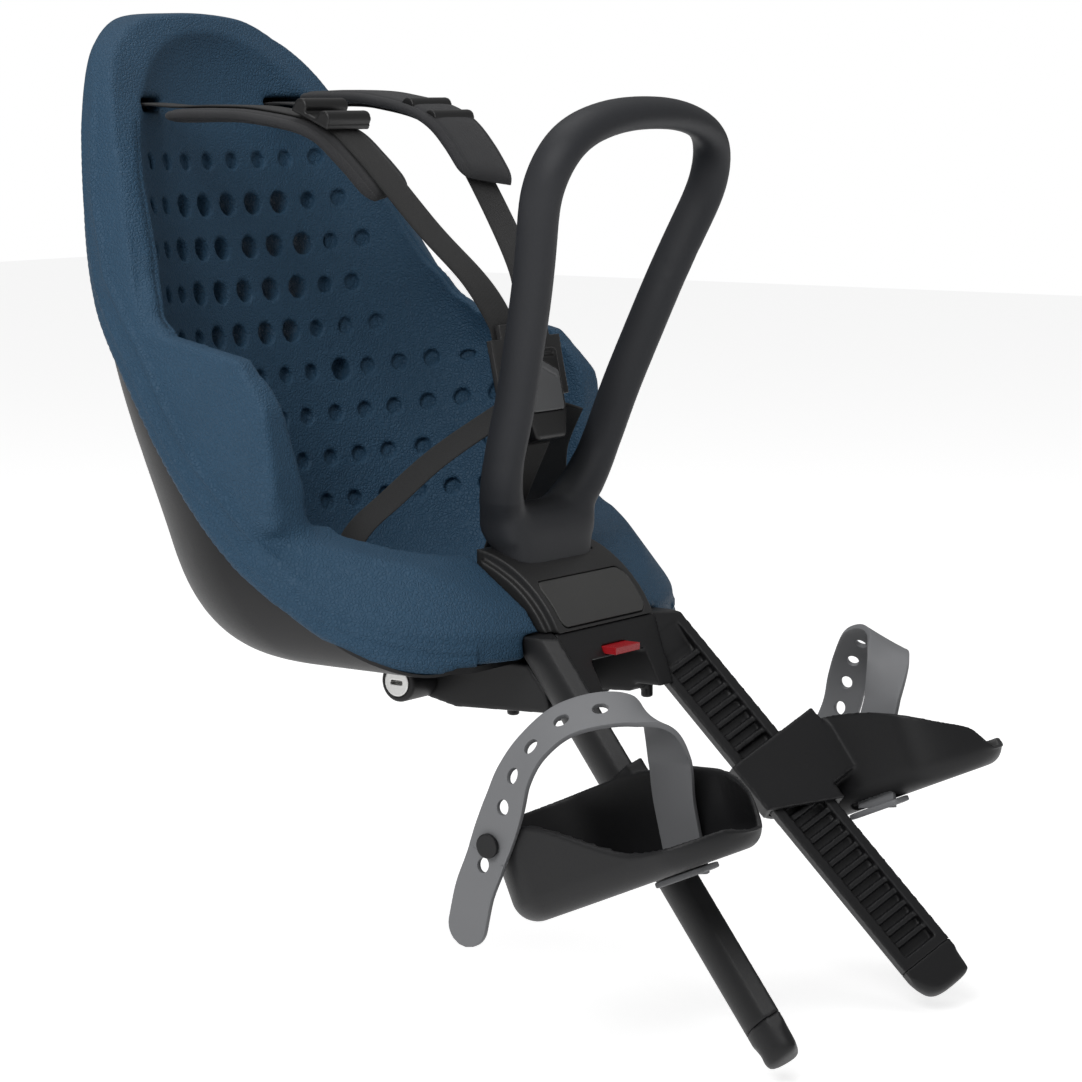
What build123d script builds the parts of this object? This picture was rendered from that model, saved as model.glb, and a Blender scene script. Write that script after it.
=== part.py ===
from build123d import *
import os
from math import cos, radians, sin, sqrt

# Front-mounted child seat for a bicycle. Millimetres, +Z up, -Y forward, +X to the child's left.
# The origin is the middle of the docking socket in the front housing.

os.makedirs("parts", exist_ok=True)

# Clearances
GAP = 0.3            # between curved faces of different pieces
SLIDE = 0.25         # between a leg and the sleeve that slides on it
PIN_FIT = 0.05       # radial, between a pin and its bore

# Seat tub: height, half width, rear reach and depth of the round back corner of each level
OUTER = [(6.5, 114, 194, 98), (15, 141, 216, 106), (40, 157, 239, 109), (80, 160.5, 256, 105), (140, 161, 276, 92),
         (200, 147, 291, 62), (255, 127.5, 306, 46), (310, 107, 319, 37), (342, 89.5, 326, 30), (369.5, 44, 331, 17)]
INNER = [(30, 88, 184, 70), (42, 110, 208, 84), (70, 123, 226, 86), (110, 132, 237, 80), (150, 141, 246.5, 72),
         (190, 137, 256, 66), (230, 121.5, 266, 58), (270, 113, 275.5, 50), (310, 95, 285, 38), (338, 73, 291, 26),
         (357, 46, 291, 13)]
TUB_FRONT = -60      # where the straight sides of every level stop, ahead of the lip
RIM_PROUD = 3        # the pad's rim stands this far outside the shell
SHELL_WALL = 3.5
LEAN_SLOPE = 0.2405  # back leans this much rearward per unit of height
ROW1_Z = 281

# Hole field of the pad
ROW_PITCH = 25.8
COLUMN_PITCH = 21.6
BIG_HOLE = 13.6
DIMPLE = 10
DIMPLE_DEPTH = 5

# Front housing and cover
BASE_HALF = 57
BASE_TOP = 9.2
BASE_LOW = -20
COVER_HALF = 51      # over the shoulders that run into the legs
CROWN_HALF = 47
COVER_REAR = 52
COVER_WALL = 3
SOCKET_HALF = 27
SOCKET_TOP = 9
PANEL_HALF = 41
PANEL_THICK = 2.2
PANEL_GROOVE = 0.7

# Legs: a straight D section between two end points
LEG_ROOT = (50.5, 9.1, 27)
LEG_END = (86.5, -179, -177.3)
LEG_TURN = 38        # the toothed face turns this many degrees toward the middle
LEG_WIDE = 33.5
LEG_FRONT = 8        # depth of the section on the toothed side of its axis
LEG_ROUND = 12.5     # depth of the section on the round side of its axis
CHANNEL_WIDE = 22
CHANNEL_DEEP = 6
RUNG_PITCH = 8.4
RUNG_LONG = 3.2
RUNG_HIGH = 4
CAP_LONG = 22

# Footrests
FOOT_X = 130         # middle of the dish
FOOT_Y = -108
FOOT_Z = -80
FOOT_TILT = 24       # toe-up angle
FOOT_HALF = 38
FOOT_LOW = -7        # underside of the floor
FOOT_WALL = 3
HEEL = 66            # reach of the dish behind its middle
HEEL_ROUND = 33
TOE_FROM = -47       # where the round toe starts
TOE_LONG = 39
SLEEVE_FROM = 108    # along the leg
SLEEVE_TO = 150
SLEEVE_WALL = 4
STRAP_WIDE = 24
STRAP_THICK = 3
STUD_D = 6.4

# Harness
WEB_WIDE = 25
WEB_THICK = 1.6
SHOULDER_PAD_WIDE = 50
SHOULDER_PAD_THICK = 7
SLOT_X = 62
SLOT_Z = 315

# Grab handle
HANDLE_SLOPE = -0.338  # forward lean per unit of height
HANDLE_Y100 = 40       # its Y at 100 high
GRIP_DEEP = 24.5
GRIP_THIN = 17
GRIP_TURN = 94       # turn of the grip's long axis from the plane of the loop
STEM_HALF = 35

# Buckle, lock and release tab
BUCKLE_Y = 46
BUCKLE_Z = 150
BUCKLE_TILT = 12
BUTTON_TRAVEL = 3
LOCK_Y = 83
LOCK_Z = -5
LOCK_X = 80          # outer face of the lock
LOCK_BOSS = 11.5     # radius of its housing
LOCK_D = 16.4
TAB_HALF = 12
SCREW_D = 8


def save(shape, name):
    """Write one node to its STEP file."""
    export_step(shape, "parts/" + name + ".step")


def save_pair(right, name):
    """Write a right-hand piece and its mirror image."""
    save(right, name + "_right")
    save(mirror(right, about=Plane.YZ), name + "_left")


def tub(rows, inset):
    """Loft the levels of a bucket, every one drawn inward by inset."""
    sections = []
    for i, (z, half, rear, depth) in enumerate(rows):
        lift = inset if i == 0 else (-inset if i == len(rows) - 1 else 0)
        half, rear, depth = half - inset, rear - inset, depth - inset
        arc = EllipticalCenterArc((0, rear - depth), half, depth, start_angle=0, arc_size=180)
        right = Line((half, TUB_FRONT), (half, rear - depth))
        left = Line((-half, rear - depth), (-half, TUB_FRONT))
        front = Line((-half, TUB_FRONT), (half, TUB_FRONT))
        sections.append(Pos(0, 0, z + lift) * Face(Wire([right, arc, left, front])))
    return loft(sections)


def side_prism(points, half, radius=0):
    """Prism of a side-view outline (Y, Z), symmetric in X."""
    if radius:
        outline = FilletPolyline(*points, radius=radius, close=True)
    else:
        outline = Polyline(*points, close=True)
    return extrude(Plane.YZ * make_face(outline.edges()), amount=half, both=True)


def smooth(stations, steps):
    """Points and across directions along a smooth curve through the stations."""
    points = [Vector(*p) for p, across in stations]
    sides = [Vector(*across) for p, across in stations]
    last = len(points) - 1
    result = []
    for i in range(last):
        a, b, c, d = points[max(i - 1, 0)], points[i], points[i + 1], points[min(i + 2, last)]
        for k in range(steps):
            t = k / steps
            cubic = (b * 3 - a - c * 3 + d) * t ** 3 + (a * 2 - b * 5 + c * 4 - d) * t ** 2 + (c - a) * t + b * 2
            result.append((cubic * 0.5, sides[i] * (1 - t) + sides[i + 1] * t))
    result.append((points[last], sides[last]))
    return result


def ribbon(stations, width, thick, shift=0, first=0, last=99, steps=3):
    """Strap through (point, across) stations; shift moves it along its own face normal."""
    line = smooth(stations, steps)
    faces = []
    for i, (p, side) in enumerate(line):
        if first * steps <= i <= last * steps:
            run = (line[min(i + 1, len(line) - 1)][0] - line[max(i - 1, 0)][0]).normalized()
            side = (side - run * side.dot(run)).normalized()
            normal = run.cross(side)
            faces.append(Plane(origin=p + normal * shift, x_dir=side, z_dir=run) * Rectangle(width, thick))
    return loft(faces, ruled=True)


# Outlines that trim the tub: the front edge in side view, the rounded front in plan, and the line where
# the pad's rim band gives way to the shell.
EDGE = [(-6, -9), (-6, 27), (48, 65), (103, 82), (106, 120), (111, 152), (134, 178), (204, 191), (219, 213),
        (239, 255), (265, 309), (282, 342), (303, 380), (350, 380), (350, -9)]
FRONT = [(0, 0), (45, 2), (90, 12), (130, 41), (152, 82), (163, 132)]
BOUND = [(-40, 12), (9, 13), (28, 14.5), (50, 21), (80, 31), (97, 42), (124, 59), (173, 107), (216, 163), (258, 208),
         (283, 255), (301, 309), (312, 340), (329, 368), (338, 390)]
BEVEL_FROM = 27      # height where the lip's sloping top starts
BEVEL_TURN = 36
BEVEL_TO = 84        # the armrests start here

EDGE_ROUND = 9
edge_body = side_prism(EDGE, 200, EDGE_ROUND)
front_curve = Spline(*[(-x, y) for x, y in reversed(FRONT)], *FRONT[1:])
WIDE_PLAN = [FRONT[-1], (175, 400), (-175, 400), (-FRONT[-1][0], FRONT[-1][1])]
plan_face = make_face([*front_curve.edges(), *Polyline(*WIDE_PLAN).edges()])
plan_body = Pos(0, 0, -10) * extrude(plan_face, amount=420)
FLARED = [(0, 0), (45, 2), (90, 10), (135, 38), (175, 80), (215, 128)]
flare_curve = Spline(*[(-x, y) for x, y in reversed(FLARED)], *FLARED[1:])
FLARE_PLAN = [FLARED[-1], (320, 480), (-320, 480), (-FLARED[-1][0], FLARED[-1][1])]
flare_face = make_face([*flare_curve.edges(), *Polyline(*FLARE_PLAN).edges()])
bevel_body = Pos(0, 0, -10) * extrude(flare_face, amount=BEVEL_FROM + 10)
bevel_body += Pos(0, 0, BEVEL_FROM) * extrude(flare_face, amount=BEVEL_TO - BEVEL_FROM, taper=BEVEL_TURN)
bevel_body += Pos(0, 200, BEVEL_TO + 165) * Box(500, 400, 330)
bound_curve = Spline(*BOUND)
bound_face = make_face([*bound_curve.edges(), *Polyline(BOUND[-1], (420, 390), (420, -40), (-40, -40), BOUND[0]).edges()])
behind = extrude(Plane.YZ * bound_face, amount=230, both=True)

# Leg frame: Z runs down the leg, Y points away from the toothed face
root = Vector(-LEG_ROOT[0], LEG_ROOT[1], LEG_ROOT[2])
leg_run = Vector(-LEG_END[0], LEG_END[1], LEG_END[2]) - root
LEG_LONG = leg_run.length
leg_dir = leg_run.normalized()
flat_up = Vector(1, 0, 0).cross(leg_dir).normalized()
flat_up = flat_up if flat_up.Z > 0 else flat_up * -1
inward = leg_dir.cross(flat_up)
inward = inward if inward.X > 0 else inward * -1
tooth_out = flat_up * cos(radians(LEG_TURN)) + inward * sin(radians(LEG_TURN))
leg_plane = Plane(origin=root, x_dir=leg_dir.cross(tooth_out), z_dir=leg_dir)


def leg_section(grow):
    """D section of a leg, grown by a clearance."""
    w, f, r = LEG_WIDE / 2 + grow, LEG_FRONT + grow, LEG_ROUND + grow
    flat = Polyline((-w, 0), (-w, -f), (w, -f), (w, 0))
    crown = ThreePointArc((w, 0), (0, r), (-w, 0))
    return make_face([*flat.edges(), *crown.edges()])


def leg_prism(grow, start, end):
    """Length of the leg section between two distances along the leg."""
    return leg_plane * Pos(0, 0, start) * extrude(leg_section(grow), amount=end - start)


# Buckle frame and the run of the lap straps, which go down between the lip and the side of the hollow
turn = radians(BUCKLE_TILT)
buckle_plane = Plane(origin=(0, BUCKLE_Y, BUCKLE_Z), x_dir=(1, 0, 0), z_dir=(0, -cos(turn), sin(turn)))
BUCKLE_HALF = 19
BUCKLE_TALL = 28
BUCKLE_LOW = 24
BUCKLE_DEEP = 9
LAP_ACROSS = (0.35, 0.9, 0.1)
LAP_FOOT = (-98, 110.5, 25)
LAP_TURN = 68.7      # plan angle of the webbing's width where it enters the floor
lap_end = buckle_plane.from_local_coords((-BUCKLE_HALF - 8, -4, 0))
lap = [(LAP_FOOT, LAP_ACROSS), ((-98.5, 110, 50), LAP_ACROSS), ((-92, 102.5, 78), LAP_ACROSS), ((-74, 90, 98), LAP_ACROSS),
       ((-52, 73, 121), LAP_ACROSS), ((lap_end.X, lap_end.Y, lap_end.Z), LAP_ACROSS)]
lap_slots = Pos(*LAP_FOOT) * Pos(0, 0, 8) * Rot(0, 0, LAP_TURN) * Box(WEB_WIDE + 4, WEB_THICK + 3, 30)
lap_slots += mirror(lap_slots, about=Plane.YZ)

# Pad and shell
NOTCH = COVER_REAR + 2
notch = side_prism([(-70, -20), (-70, 90), (NOTCH, 90), (NOTCH, -20)], COVER_HALF + 2)
LEG_TOP = 26
leg_space = leg_prism(0.6, -26, 60) & (Pos(0, 0, LEG_TOP + 0.6 - 300) * Box(600, 600, 600))
leg_space += mirror(leg_space, about=Plane.YZ)
rim = (tub(OUTER, 0) & edge_body & plan_body & bevel_body) - behind
LINER_INSET = RIM_PROUD + SHELL_WALL + GAP
liner = tub(OUTER, LINER_INSET) & edge_body & plan_body & bevel_body & behind
FLOOR = [(-60, 90), (46, 64), (62, 48), (92, 30), (345, 25), (345, 380), (-60, 380)]
LIP_PLAN = [(0, 52), (40, 53), (80, 66), (108, 98), (122, 140)]
lip_curve = Spline(*[(-x, y) for x, y in reversed(LIP_PLAN)], *LIP_PLAN[1:])
lip_face = make_face([*lip_curve.edges(), *Polyline((122, 140), (150, 400), (-150, 400), (-122, 140)).edges()])
cavity = tub(INNER, 0) & side_prism(FLOOR, 200)
LEDGE = 86           # height of the lip at the foot of the armrests
low_cavity = cavity & extrude(lip_face, amount=LEDGE)
high_cavity = cavity & (Pos(0, 100, LEDGE + 160) * Box(400, 600, 320))
pad = rim + liner - low_cavity - high_cavity - notch - leg_space


def hollow_level(z):
    """Half width, rear reach and corner depth of the hollow at a height."""
    for low, high in zip(INNER, INNER[1:]):
        if z <= high[0]:
            t = (z - low[0]) / (high[0] - low[0])
            return [p + (q - p) * t for p, q in zip(low[1:], high[1:])]


def hole_plane(row, column):
    """Frame on the hollow's surface at a place of the hole grid, its Z pointing into the pad."""
    z = ROW1_Z - ROW_PITCH * row
    half, rear, depth = hollow_level(z)
    angle, walked = 0, 0
    while walked < abs(column) * COLUMN_PITCH and angle < 90:
        walked += radians(1) * sqrt((half * cos(radians(angle))) ** 2 + (depth * sin(radians(angle))) ** 2)
        angle += 1
    side = -1 if column < 0 else 1
    ahead = max(abs(column) * COLUMN_PITCH - walked, 0) if angle >= 90 else 0
    x, y = half * sin(radians(angle)), rear - depth + depth * cos(radians(angle)) - ahead
    across, back = sin(radians(angle)) / half, cos(radians(angle)) / depth
    size = sqrt(across ** 2 + back ** 2)
    axis = Vector(side * across / size, back / size, -LEAN_SLOPE * back / size)
    return Plane(origin=(side * x, y, z), x_dir=Vector(0, 0, 1).cross(axis), z_dir=axis)


BIG = {1: [0, 1, 2], 2: [0.5, 1.5, 2.5], 3: [0, 1, 2], 4: [0.5, 1.5]}
SMALL = {0: [0.5, 1.5, 2.5, 3.5], 1: [3, 4], 2: [3.5, 4.5], 3: [3, 4], 4: [2.5, 3.5, 4.5], 5: [0, 1, 2, 4, 5, 6, 7],
         6: [0.5, 1.5, 2.5, 3.5, 4.5, 5.5, 6.5, 7.5], 7: [0, 1, 2, 3, 4, 5, 6, 7], 8: [0.5, 1.5, 2.5, 3.5, 4.5, 5.5, 6.5, 7.5]}
WELL = {5: [3]}      # deep wells either side of the lower back


def hole_places(grid):
    """Frames of all places of a grid, on both sides of the middle."""
    places = [hole_plane(row, column) for row, columns in grid.items() for column in columns]
    return places + [hole_plane(row, -column) for row, columns in grid.items() for column in columns if column]


big_places = hole_places(BIG)
cutters = [place * Pos(0, 0, 12) * Cylinder(BIG_HOLE / 2, 80) for place in big_places]
cutters += [place * Pos(0, 0, -12) * Cylinder(DIMPLE / 2, 24 + 2 * DIMPLE_DEPTH) for place in hole_places(SMALL)]
cutters += [place * Pos(0, 0, -12) * Cylinder(BIG_HOLE / 2, 24 + 4 * DIMPLE_DEPTH) for place in hole_places(WELL)]
strap_slots = [Pos(side * SLOT_X, 295, SLOT_Z) * Box(WEB_WIDE + 5, 90, 8) for side in (-1, 1)]
crotch_slot = Pos(0, 78, 30) * Box(WEB_WIDE + 5, 10, 60)
cutters += [*strap_slots, crotch_slot, *lap_slots.solids()]

# The moulding is divided into zones by flat cuts
ZONE_SIDE = 86
ZONE_LOW = 58
BACK_COLUMNS = 6
BACK_SPLIT = 130     # height of the cut across the back


def pad_zone(zone):
    """One zone of the pad, with the holes that reach it."""
    box = zone.bounding_box()
    near = []
    for cutter in cutters:
        c = cutter.bounding_box()
        if c.max.X > box.min.X and c.min.X < box.max.X and c.max.Z > box.min.Z and c.min.Z < box.max.Z:
            near.append(cutter)
    return (pad & zone) - near


beside = Pos(-ZONE_SIDE - 150, 200, ZONE_LOW + 200) * Box(300, 600, 400)
below = Pos(0, 200, ZONE_LOW - 100) * Box(600, 600, 200) + Pos(0, 10, ZONE_LOW) * Box(2 * ZONE_SIDE, 200, 60)
BACK_STEP = 2 * ZONE_SIDE / BACK_COLUMNS
low_row = Pos(0, 410, (ZONE_LOW + BACK_SPLIT) / 2) * Box(BACK_STEP, 600, BACK_SPLIT - ZONE_LOW)
high_row = Pos(0, 410, BACK_SPLIT + 150) * Box(BACK_STEP, 600, 300)
back_zones = [Pos((i + 0.5) * BACK_STEP - ZONE_SIDE, 0, 0) * row for i in range(BACK_COLUMNS) for row in (low_row, high_row)]
save(Compound(children=[pad_zone(zone).solids()[0] for zone in back_zones]), "pad_back")
save_pair(pad_zone(beside), "pad_side")
save(pad_zone(below), "pad_base")

shell_front = side_prism([(16, -9), (16, 420), (420, 420), (420, -9)], 200)
shell = (tub(OUTER, RIM_PROUD) - tub(OUTER, RIM_PROUD + SHELL_WALL)) & (Pos(0, GAP, -GAP) * behind) & plan_body & shell_front
vents = [place * Pos(0, 0, 24) * Cylinder(BIG_HOLE / 2 + 1, 60) for place in big_places]
shell = shell - vents - strap_slots - notch - leg_space
save(shell, "seat_shell")


# Front housing: a base under the shell and a block between the legs, with the docking socket in it
leg_pocket = leg_prism(GAP, -26, 90)
leg_pocket += mirror(leg_pocket, about=Plane.YZ)
BLOCK_TOP = LEG_TOP
base = side_prism([(2, BASE_TOP), (-6, -17), (60, BASE_LOW), (96, -13), (104, BASE_TOP)], BASE_HALF, 4)
block = side_prism([(-4, BLOCK_TOP), (-24, -12), (40, -12), (COVER_REAR, 0), (COVER_REAR, BLOCK_TOP)], COVER_HALF - 1)
socket = side_prism([(-60, -40), (-60, SOCKET_TOP), (30, SOCKET_TOP), (30, -40)], SOCKET_HALF)
TAB_LOW = 11
TAB_HIGH = 15
tab_slot = Pos(0, -10, (TAB_LOW + TAB_HIGH) / 2) * Box(2 * TAB_HALF + 0.6, 60, TAB_HIGH - TAB_LOW + 0.6)
foot_bumps = [Pos(x, y, BASE_LOW + 1) * Cylinder(3.5, 8) for x in (-45, 45) for y in (-2, 28)]
SCREW_PLACES = [(-42, 45), (42, 45), (-42, 78), (42, 78)]
screw_bores = [Pos(x, y, BASE_LOW) * Cylinder(SCREW_D / 2 + 0.2, 12) for x, y in SCREW_PLACES]
housing = base + block + foot_bumps - socket - tab_slot - leg_pocket - screw_bores
save(housing, "front_housing")
screw_heads = [Pos(x, y, BASE_LOW + 3.5) * Cylinder(SCREW_D / 2, 5) for x, y in SCREW_PLACES]
hex_cuts = [Pos(x, y, BASE_LOW + 1) * extrude(RegularPolygon(2.3, 6), amount=2.5) for x, y in SCREW_PLACES]
save(Compound(children=[head - cut for head, cut in zip(screw_heads, hex_cuts)]), "base_screws")
tab = Pos(0, -6, (TAB_LOW + TAB_HIGH) / 2) * Box(2 * TAB_HALF, 26, TAB_HIGH - TAB_LOW)
save(tab, "release_tab")

# Cover over the block: a raised crown between two shoulders, with a panel let into its sloping front
CROWN = [(-5, 26.4), (4, 41), (16, 53), (36, 65), (COVER_REAR, 69)]
CROWN_NORMAL = [(-0.86, 0.51), (-0.78, 0.62), (-0.62, 0.78), (-0.42, 0.91), (-0.1, 0.99)]
SHOULDER_DROP = 5.5
PANEL_LOW = 28.5
PANEL_HIGH = 52
PANEL_ROUND = 5


def crown_prism(inset, half):
    """Prism of the cover's side outline, drawn inward by inset along its crown."""
    line = [(y - ny * inset, z - nz * inset) for (y, z), (ny, nz) in zip(CROWN, CROWN_NORMAL)]
    line[-1] = (CROWN[-1][0] - max(inset, 0), line[-1][1])
    curve = Spline(*line)
    closing = Polyline(line[-1], (line[-1][0], 10), (line[0][0], 10), line[0])
    return extrude(Plane.YZ * make_face([*curve.edges(), *closing.edges()]), amount=half, both=True)


def panel_window(grow):
    """Everything behind the panel's outline seen from the front, grown by a groove."""
    outline = RectangleRounded(2 * (PANEL_HALF + grow), PANEL_HIGH - PANEL_LOW + 2 * grow, PANEL_ROUND + grow)
    reach = Pos(0, -10, 0) * Box(400, 80, 400)
    return extrude(Plane.XZ * Pos(0, (PANEL_LOW + PANEL_HIGH) / 2) * outline, amount=99, both=True) & reach


cover = crown_prism(0, CROWN_HALF) + crown_prism(SHOULDER_DROP, COVER_HALF)
cover = cover - crown_prism(COVER_WALL, CROWN_HALF - COVER_WALL)
cover = cover - crown_prism(SHOULDER_DROP + COVER_WALL, COVER_HALF - COVER_WALL)
cover = cover & (Pos(0, 0, 73.2) * Box(400, 800, 93.6))
panel = (crown_prism(0, PANEL_HALF) - crown_prism(PANEL_THICK - GAP, 99)) & panel_window(0)
recess = (crown_prism(-5, 99) - crown_prism(PANEL_THICK, 99)) & panel_window(PANEL_GROOVE)
STEM_Y = 38.5
STEM_DEEP = 17
STEM_LEDGE = 70.5    # the loop's foot clears the cover below it
stem = Pos(0, STEM_Y, 55) * Box(2 * STEM_HALF, STEM_DEEP, 58)
stem_hole = Pos(0, STEM_Y, 55) * Box(2 * STEM_HALF + 0.6, STEM_DEEP + 0.6, 80)
cover = cover - recess - stem_hole
save(cover, "housing_cover")
save(panel, "cover_panel")

# Grab handle: an oval grip swept round a leaning loop, on a flat stem that stands on the block
LOOP = [(26, 84), (43, 108), (50.5, 150), (57.5, 184), (65.5, 217), (76, 250), (81, 272), (72.5, 294), (46, 307)]
LOOP_LOW = 80
LOOP_HIGH = 311.5
lean = sqrt(1 + HANDLE_SLOPE ** 2)
loop_up = Vector(0, HANDLE_SLOPE, 1).normalized()
loop_back = Vector(1, 0, 0).cross(loop_up) * -1
loop_plane = Plane(origin=(0, HANDLE_Y100 + HANDLE_SLOPE * (LOOP_LOW - 100), LOOP_LOW), x_dir=(1, 0, 0), z_dir=loop_back * -1)
loop_points = [(0, 0)] + [(x, (z - LOOP_LOW) * lean) for x, z in LOOP] + [(0, (LOOP_HIGH - LOOP_LOW) * lean)]
loop_points += [(-x, (z - LOOP_LOW) * lean) for x, z in reversed(LOOP)]
loop_path = loop_plane * Spline(*loop_points, periodic=True)
grip_axis = loop_up * cos(radians(GRIP_TURN)) + loop_back * sin(radians(GRIP_TURN))
grip_face = Plane(origin=loop_plane.origin, x_dir=grip_axis, z_dir=(1, 0, 0)) * Ellipse(GRIP_DEEP / 2, GRIP_THIN / 2)
grip = sweep(grip_face, path=loop_path)
stem_top = side_prism([(30, STEM_LEDGE), (50, STEM_LEDGE), (57, 81), (52, 90), (36, 88), (30, 80)], STEM_HALF + 4, 3)
handle = grip + (stem & (Pos(0, 0, BLOCK_TOP + 100) * Box(200, 200, 200))) + stem_top
save(handle, "grab_handle")

# Legs with their ladder of rungs, and the round-ended caps on them
below_cover = Pos(0, -100, BLOCK_TOP - 300) * Box(600, 600, 600)
leg = leg_prism(0, -26, LEG_LONG - CAP_LONG) & below_cover
RACK_FROM = 34
RACK_TO = LEG_LONG - CAP_LONG - 6
ramp = Polyline((RACK_FROM - 16, -LEG_FRONT - 1), (RACK_FROM, CHANNEL_DEEP - LEG_FRONT), (RACK_TO, CHANNEL_DEEP - LEG_FRONT),
                (RACK_TO, -LEG_FRONT - 1), close=True)
rack_plane = Plane(origin=(0, 0, 0), x_dir=(0, 0, 1), z_dir=(-1, 0, 0))
leg = leg - leg_plane * extrude(rack_plane * make_face(ramp.edges()), amount=CHANNEL_WIDE / 2, both=True)
RUNGS = int((RACK_TO - RACK_FROM - 8) / RUNG_PITCH)
rung = Box(CHANNEL_WIDE, RUNG_HIGH, RUNG_LONG)
rung_y = CHANNEL_DEEP - LEG_FRONT - RUNG_HIGH / 2
leg = leg + [leg_plane * Pos(0, rung_y, RACK_FROM + 8 + RUNG_PITCH * i) * rung for i in range(RUNGS)]
save_pair(leg, "leg")
TONGUE_ROUND = 14
tongue_end = extrude(Plane.XZ * Pos(0, LEG_LONG - 40) * RectangleRounded(LEG_WIDE, 80, TONGUE_ROUND), amount=40, both=True)
cap = leg_prism(0, LEG_LONG - CAP_LONG, LEG_LONG) & (leg_plane * tongue_end)
cap_pin = leg_plane * Pos(0, LEG_ROUND, LEG_LONG - CAP_LONG / 2) * Rot(90, 0, 0) * Cylinder(2.2, 8)
save_pair(cap - cap_pin, "leg_cap")


# Footrests: a tilted dish with a sleeve that slides on the leg
tilt = radians(FOOT_TILT)
foot_plane = Plane(origin=(-FOOT_X, FOOT_Y, FOOT_Z), x_dir=(1, 0, 0), z_dir=(0, sin(tilt), cos(tilt)))
OUTER_RIM = [(74, 47), (48, 46), (30, 42.5), (0, 25), (-18, 12.5), (-32, 6), (-48, 3.6), (-72, 2.5), (-95, 0)]
INNER_RIM = [(74, 53), (30, 52.5), (0, 52.5), (-21, 50), (-40, 45), (-58, 37), (-72, 27), (-84, 12), (-95, 0)]
RIM_REACH = 45       # where the rim's two profiles stand, either side of the middle


def foot_body(inset, top):
    """The dish's outer form, drawn inward by inset, with a rounded bottom edge."""
    half, heel, r, toe = FOOT_HALF - inset, HEEL - inset, HEEL_ROUND - inset, TOE_LONG - inset
    outline = [Line((half, TOE_FROM), (half, heel - r)), CenterArc((half - r, heel - r), r, 0, 90),
               Line((half - r, heel), (r - half, heel)), CenterArc((r - half, heel - r), r, 90, 90),
               Line((-half, heel - r), (-half, TOE_FROM)),
               EllipticalCenterArc((0, TOE_FROM), half, toe, start_angle=180, arc_size=180)]
    body = Pos(0, 0, FOOT_LOW + inset) * extrude(Face(Wire(outline)), amount=top - FOOT_LOW - inset)
    return fillet(body.faces().sort_by(Axis.Z)[0].edges(), 14 - inset)


def rim_face(x, points):
    """Side profile under the rim, at one side of the dish."""
    closing = Polyline(points[-1], (points[-1][0], -20), (points[0][0], -20), points[0])
    return Plane(origin=(x, 0, 0), x_dir=(0, 1, 0), z_dir=(1, 0, 0)) * make_face([*Spline(*points).edges(), *closing.edges()])


rim_body = loft([rim_face(-RIM_REACH, OUTER_RIM), rim_face(RIM_REACH, INNER_RIM)], ruled=True)
dish = foot_plane * (foot_body(0, 60) & rim_body)
hollow = foot_plane * foot_body(FOOT_WALL, 90)
SLEEVE_SKEW = 0.5    # its lower edge runs down toward the dish
skew_face = Polyline((-40, 90), (40, 90), (40, SLEEVE_TO + 40 * SLEEVE_SKEW), (-40, SLEEVE_TO - 40 * SLEEVE_SKEW), close=True)
sleeve = leg_prism(SLIDE + SLEEVE_WALL, SLEEVE_FROM, SLEEVE_TO + 20)
sleeve = sleeve & (leg_plane * extrude(Plane.XZ * make_face(skew_face.edges()), amount=60, both=True))
sleeve_bore = leg_prism(SLIDE, SLEEVE_FROM - 80, SLEEVE_TO + 110)
FLANGE_TOP = -LEG_FRONT - SLIDE - SLEEVE_WALL
flange = leg_plane * Pos(26, FLANGE_TOP + 9.2, (SLEEVE_FROM + SLEEVE_TO) / 2) * Box(28, 18.4, SLEEVE_TO - SLEEVE_FROM)
flange = flange & (foot_plane * Pos(FOOT_HALF - 2 + 50, 0, FOOT_LOW + 40) * Box(100, 300, 80))
slit = leg_plane * Pos(0, FLANGE_TOP, SLEEVE_FROM + 26) * Box(LEG_WIDE, 2.4, 0.8)
STRAP_IN_X = 31      # where the strap goes through the floor
STRAP_IN_Y = -14
strap_in = foot_plane * Pos(STRAP_IN_X, STRAP_IN_Y, FOOT_LOW) * Box(STRAP_THICK + 2, STRAP_WIDE + 5, 24)
STUD_Y = 48
STUD_Z = 39
stud_bore = foot_plane * Pos(-FOOT_HALF, STUD_Y, STUD_Z) * Rot(0, 90, 0) * Cylinder(STUD_D / 3, 24)
footrest = dish + flange - hollow + (sleeve - hollow) - sleeve_bore - strap_in - stud_bore - slit
save_pair(footrest, "footrest")

# Foot straps: through the floor, over the instep to the stud on the outer wall, with a row of holes
ALONG = (0, cos(tilt), -sin(tilt))
OVER = (0.4, 0.77, 0.5)
stud_at = foot_plane.from_local_coords((-FOOT_HALF, STUD_Y, STUD_Z))
STRAP_X = stud_at.X - STRAP_THICK / 2 - 0.5
inner_at = foot_plane.from_local_coords((STRAP_IN_X, STRAP_IN_Y, FOOT_LOW - 2))
foot_stations = [((STRAP_X - 1, -34, -108), ALONG), ((STRAP_X - 0.5, -38, -90), ALONG), ((STRAP_X, -44, -75), ALONG),
                 ((STRAP_X, stud_at.Y, stud_at.Z), ALONG), ((-171.2, -57.5, -42.6), ALONG), ((-169.5, -62.6, -26), (0.1, 0.9, -0.2)),
                 ((-164, -70, -11), (0.25, 0.87, 0.1)), ((-153.5, -81.5, 2), (0.35, 0.8, 0.35)), ((-142, -97.5, 8), OVER),
                 ((-130.5, -111, 7.2), OVER), ((-119.5, -118.5, -2), (0.25, 0.87, 0.1)), ((-111, -120, -21), ALONG),
                 ((-104.4, -119, -45), ALONG), ((inner_at.X, inner_at.Y, inner_at.Z), ALONG)]
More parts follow.
